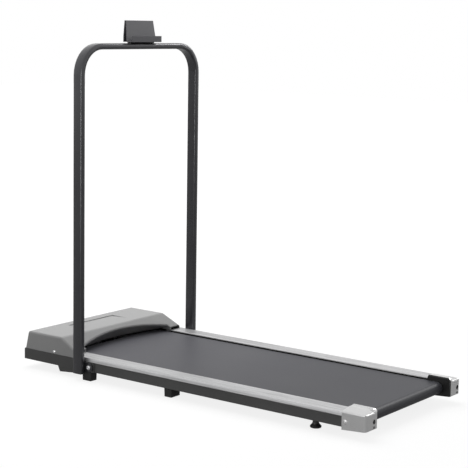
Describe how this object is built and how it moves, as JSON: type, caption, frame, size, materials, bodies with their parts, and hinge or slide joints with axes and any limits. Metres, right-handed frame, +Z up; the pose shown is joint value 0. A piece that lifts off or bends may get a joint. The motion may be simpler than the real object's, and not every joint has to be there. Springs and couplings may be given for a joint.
{
  "type": "folding treadmill",
  "caption": "Flat walking treadmill with a silver motor cover, aluminium side rails and a fold-down U handrail with a phone holder.",
  "frame": {"origin": "on the floor, under the middle of the bounding box", "axes": "+Z up; +Y along the belt from its rear end towards the motor cover; +X to the right of a person walking on it"},
  "size_m": [0.533, 1.2, 1.0365],
  "materials": {
    "frame_steel": "satin black powder coat",
    "deck_cushions": "matt",
    "deck_wood": "waxed board",
    "rail_aluminium": "brushed",
    "belt_rubber": "fine weave",
    "bright_steel": "zinc plated",
    "silver_plastic": "silver grey, fine grain",
    "black_plastic": "fine grain",
    "motor_paint": "satin",
    "rubber": "matt",
    "handrail_paint": "satin gunmetal",
    "holder_paint": "matt grey"
  },
  "bodies": {
    "base": {"side_frame_left": "frame_steel", "side_frame_right": "frame_steel", "rear_cross_member": "frame_steel", "middle_cross_member": "frame_steel", "front_cross_member": "frame_steel", "front_bracket_left": "frame_steel", "front_bracket_right": "frame_steel", "pivot_bracket_left": "frame_steel", "pivot_bracket_right": "frame_steel", "motor_cradle": "frame_steel", "rear_deck_pad_left": "deck_cushions", "rear_deck_pad_right": "deck_cushions", "middle_deck_pad_left": "deck_cushions", "middle_deck_pad_right": "deck_cushions", "front_deck_pad_left": "deck_cushions", "front_deck_pad_right": "deck_cushions", "deck_board": "deck_wood", "side_rail_left": "rail_aluminium", "side_rail_right": "rail_aluminium", "running_belt": "belt_rubber", "drive_belt": "belt_rubber", "rear_roller_axle": "bright_steel", "front_roller_axle": "bright_steel", "pivot_bolt_left": "bright_steel", "pivot_bolt_right": "bright_steel", "wheel_axle_left": "bright_steel", "wheel_axle_right": "bright_steel", "end_cap_left": "silver_plastic", "end_cap_right": "silver_plastic", "motor_cover": "silver_plastic", "motor_tray": "black_plastic", "belt_lip": "black_plastic", "power_inlet": "black_plastic", "switch_housing": "black_plastic", "drive_motor": "motor_paint", "controller_box": "motor_paint", "front_foot_left": "rubber", "front_foot_right": "rubber", "middle_foot_left": "rubber", "middle_foot_right": "rubber"},
    "handrail_assembly": {"handrail": "handrail_paint", "holder_seat": "rubber", "phone_holder": "holder_paint"},
    "front_roller_assembly": {"front_roller": "bright_steel", "front_roller_bearing_left": "bright_steel", "front_roller_bearing_right": "bright_steel", "roller_pulley": "black_plastic"},
    "rear_roller_assembly": {"rear_roller": "bright_steel", "rear_roller_bearing_left": "bright_steel", "rear_roller_bearing_right": "bright_steel"},
    "motor_rotor": {"motor_shaft": "bright_steel", "motor_pulley": "bright_steel"},
    "wheel_left": {"transport_wheel_left": "rubber"},
    "wheel_right": {"transport_wheel_right": "rubber"},
    "leveller_left": {"levelling_foot_left": "black_plastic"},
    "leveller_right": {"levelling_foot_right": "black_plastic"},
    "tension_left": {"tension_bolt_left": "bright_steel"},
    "tension_right": {"tension_bolt_right": "bright_steel"},
    "switch_lever": {"switch_rocker": "black_plastic"}
  },
  "joints": [
    {"name": "handrail_fold", "type": "hinge", "parent": "base", "child": "handrail_assembly", "pos_m": [0, 0.333, 0.0402], "axis": [1, 0, 0], "range_deg": [0, 88]},
    {"name": "front_roller_spin", "type": "hinge", "parent": "base", "child": "front_roller_assembly", "pos_m": [0, 0.452, 0.0457], "axis": [1, 0, 0], "continuous": true},
    {"name": "rear_roller_spin", "type": "hinge", "parent": "base", "child": "rear_roller_assembly", "pos_m": [0, -0.56, 0.0457], "axis": [1, 0, 0], "continuous": true},
    {"name": "motor_spin", "type": "hinge", "parent": "base", "child": "motor_rotor", "pos_m": [0, 0.518, 0.0703], "axis": [1, 0, 0], "continuous": true},
    {"name": "wheel_left_spin", "type": "hinge", "parent": "base", "child": "wheel_left", "pos_m": [-0.168, 0.572, 0.033], "axis": [1, 0, 0], "continuous": true},
    {"name": "wheel_right_spin", "type": "hinge", "parent": "base", "child": "wheel_right", "pos_m": [0.168, 0.572, 0.033], "axis": [1, 0, 0], "continuous": true},
    {"name": "leveller_left_turn", "type": "hinge", "parent": "base", "child": "leveller_left", "pos_m": [-0.21, -0.4265, 0], "axis": [0, 0, 1], "continuous": true},
    {"name": "leveller_right_turn", "type": "hinge", "parent": "base", "child": "leveller_right", "pos_m": [0.21, -0.4265, 0], "axis": [0, 0, 1], "continuous": true},
    {"name": "tension_left_turn", "type": "hinge", "parent": "base", "child": "tension_left", "pos_m": [-0.208, -0.59, 0.0457], "axis": [0, 1, 0], "continuous": true},
    {"name": "tension_right_turn", "type": "hinge", "parent": "base", "child": "tension_right", "pos_m": [0.23, -0.59, 0.0457], "axis": [0, 1, 0], "continuous": true},
    {"name": "switch_rock", "type": "hinge", "parent": "base", "child": "switch_lever", "pos_m": [-0.084, 0.59441, 0.04174], "axis": [1, 0, 0], "range_deg": [0, 18]}
  ],
  "couplings": [
    {"joint": "rear_roller_spin", "follows": "front_roller_spin", "ratio": 1},
    {"joint": "motor_spin", "follows": "front_roller_spin", "ratio": 1.6771}
  ]
}
